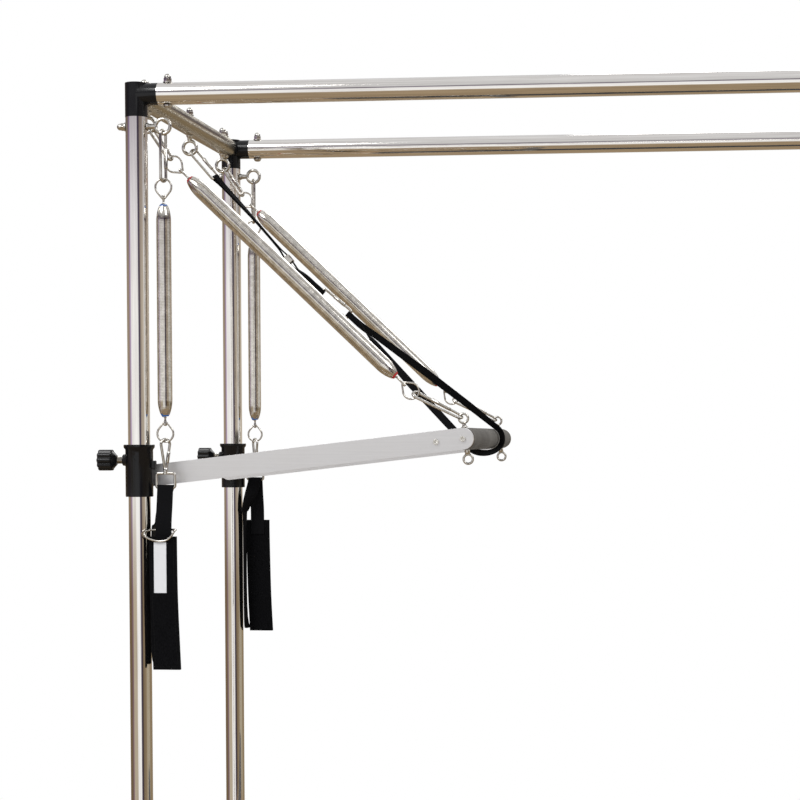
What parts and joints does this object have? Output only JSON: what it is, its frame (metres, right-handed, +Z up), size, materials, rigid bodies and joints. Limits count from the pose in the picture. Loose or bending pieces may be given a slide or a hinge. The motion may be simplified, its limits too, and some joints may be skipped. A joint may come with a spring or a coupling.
{
  "type": "pilates trapeze table",
  "caption": "Tubular steel frame over a padded bed, with a swinging push bar on long springs, a safety strap and hand loops on short springs at one end.",
  "frame": {"origin": "on the floor, below the middle of the frame between the four uprights", "axes": "+X along the table from the push bar's end to the far end, +Y across the table to the back, +Z up"},
  "size_m": [2.282, 0.8196, 2.1346],
  "materials": {
    "polished_tube": "polished stainless tube",
    "bright_steel": "bright plated steel",
    "black_fitting": "satin black",
    "aluminium_flat": "satin anodised",
    "grip_foam": "smooth foam",
    "maple": "clear satin lacquer",
    "vinyl": "soft vinyl",
    "foam": "open foam",
    "webbing": "woven nylon",
    "label": "blank woven label",
    "rubber": "matte",
    "liner": "natural",
    "spring_wire": "bright spring wire"
  },
  "bodies": {
    "frame": {"front_left_upright": "polished_tube", "back_left_upright": "polished_tube", "front_right_upright": "polished_tube", "back_right_upright": "polished_tube", "front_top_rail": "polished_tube", "back_top_rail": "polished_tube", "left_crossbar": "polished_tube", "right_crossbar": "polished_tube", "corner_fittings": "black_fitting", "frame_bolts": "bright_steel", "frame_washers": "bright_steel", "dome_nuts": "bright_steel", "post_eyebolts": "bright_steel", "crossbar_eyebolts": "bright_steel", "upright_feet": "black_fitting", "foot_pads": "rubber", "front_side_beam": "maple", "back_side_beam": "maple", "bed_end_beams": "maple", "bed_slats": "maple", "post_brackets": "black_fitting", "mattress_cover": "vinyl", "mattress_foam": "foam", "front_sleeve": "black_fitting", "back_sleeve": "black_fitting", "sleeve_liners": "liner", "pivot_bolts": "bright_steel"},
    "front_clamp_knob": {"front_clamp_knob": "black_fitting"},
    "back_clamp_knob": {"back_clamp_knob": "black_fitting"},
    "push_bar": {"front_arm": "aluminium_flat", "back_arm": "aluminium_flat", "bar_tube": "polished_tube", "bar_grip": "grip_foam", "bar_end_plugs": "black_fitting", "arm_screws": "bright_steel", "bar_eyebolts": "bright_steel"},
    "long_spring_hooks": {"long_top_hooks": "bright_steel"},
    "long_springs_upper": {"long_top_rings": "bright_steel", "front_long_spring": "spring_wire", "back_long_spring": "spring_wire"},
    "long_springs_lower": {"long_low_rings": "bright_steel"},
    "long_low_hooks": {"long_low_hooks": "bright_steel"},
    "safety_strap_upper": {"strap_hooks": "bright_steel", "strap_upper": "webbing", "strap_adjuster": "bright_steel"},
    "safety_strap_lower": {"strap_loop": "webbing"},
    "front_short_spring_upper": {"front_short_links": "bright_steel", "front_short_spring": "spring_wire"},
    "front_short_spring_lower": {"front_low_ring": "bright_steel"},
    "front_hand_loop": {"front_loop_hook": "bright_steel", "front_loop_webbing": "webbing", "front_loop_buckle": "bright_steel", "front_loop_band": "webbing", "front_loop_label": "label"},
    "back_short_spring_upper": {"back_short_links": "bright_steel", "back_short_spring": "spring_wire"},
    "back_short_spring_lower": {"back_low_ring": "bright_steel"},
    "back_hand_loop": {"back_loop_hook": "bright_steel", "back_loop_webbing": "webbing", "back_loop_band": "webbing"}
  },
  "joints": [
    {"name": "push_bar_swing", "type": "hinge", "parent": "frame", "child": "push_bar", "pos_m": [-1.075, 0, 1.435], "axis": [0, 1, 0], "range_deg": [0, 28], "stiffness_Nm_per_rad": 40, "springref_deg": -20.05},
    {"name": "long_hook_swing", "type": "hinge", "parent": "frame", "child": "long_spring_hooks", "pos_m": [-1.075, 0, 2.058], "axis": [0, 1, 0], "range_deg": [0, 1]},
    {"name": "long_spring_swing", "type": "hinge", "parent": "long_spring_hooks", "child": "long_springs_upper", "pos_m": [-1.02852, 0, 1.98803], "axis": [0, 1, 0], "range_deg": [0, 12]},
    {"name": "long_spring_stretch", "type": "slide", "parent": "long_springs_upper", "child": "long_springs_lower", "axis": [0.723, 0, -0.6909], "range_m": [0, 0.2], "deforming": ["front_long_spring", "back_long_spring"]},
    {"name": "low_hook_swing", "type": "hinge", "parent": "push_bar", "child": "long_low_hooks", "pos_m": [-0.51274, 0, 1.53529], "axis": [0, 1, 0], "range_deg": [0, 1]},
    {"name": "safety_strap_swing", "type": "hinge", "parent": "frame", "child": "safety_strap_upper", "pos_m": [-1.075, 0.015, 2.058], "axis": [0, 1, 0], "range_deg": [0, 14]},
    {"name": "safety_strap_let_out", "type": "slide", "parent": "safety_strap_upper", "child": "safety_strap_lower", "axis": [0.712, 0, -0.7021], "range_m": [0, 0.2], "deforming": ["strap_loop"]},
    {"name": "front_clamp_knob_turn", "type": "hinge", "parent": "frame", "child": "front_clamp_knob", "pos_m": [-1.135, -0.35, 1.464], "axis": [-1, 0, 0], "range_deg": [0, 720]},
    {"name": "front_short_spring_swing", "type": "hinge", "parent": "frame", "child": "front_short_spring_upper", "pos_m": [-1.028, -0.35, 2.044], "axis": [0, 1, 0], "range_deg": [-60, 0]},
    {"name": "front_short_spring_stretch", "type": "slide", "parent": "front_short_spring_upper", "child": "front_short_spring_lower", "axis": [0, 0, -1], "range_m": [0, 0.3], "stiffness_N_per_m": 500, "springref_m": -0.03, "deforming": ["front_short_spring"]},
    {"name": "front_hand_loop_swing", "type": "hinge", "parent": "front_short_spring_lower", "child": "front_hand_loop", "pos_m": [-1.028, -0.35, 1.51], "axis": [0, 1, 0], "range_deg": [-60, 0]},
    {"name": "back_clamp_knob_turn", "type": "hinge", "parent": "frame", "child": "back_clamp_knob", "pos_m": [-1.135, 0.35, 1.464], "axis": [-1, 0, 0], "range_deg": [0, 720]},
    {"name": "back_short_spring_swing", "type": "hinge", "parent": "frame", "child": "back_short_spring_upper", "pos_m": [-1.028, 0.35, 2.044], "axis": [0, 1, 0], "range_deg": [-60, 0]},
    {"name": "back_short_spring_stretch", "type": "slide", "parent": "back_short_spring_upper", "child": "back_short_spring_lower", "axis": [0, 0, -1], "range_m": [0, 0.3], "stiffness_N_per_m": 500, "springref_m": -0.03, "deforming": ["back_short_spring"]},
    {"name": "back_hand_loop_swing", "type": "hinge", "parent": "back_short_spring_lower", "child": "back_hand_loop", "pos_m": [-1.028, 0.35, 1.51], "axis": [0, 1, 0], "range_deg": [-60, 0]}
  ],
  "couplings": [
    {"joint": "long_hook_swing", "follows": "push_bar_swing", "ratio": 0.02},
    {"joint": "long_spring_swing", "follows": "push_bar_swing", "ratio": 0.405},
    {"joint": "long_spring_stretch", "follows": "push_bar_swing", "m_per_rad": 0.3967},
    {"joint": "low_hook_swing", "follows": "push_bar_swing", "ratio": 0.02},
    {"joint": "safety_strap_swing", "follows": "push_bar_swing", "ratio": 0.46},
    {"joint": "safety_strap_let_out", "follows": "push_bar_swing", "m_per_rad": 0.391}
  ]
}
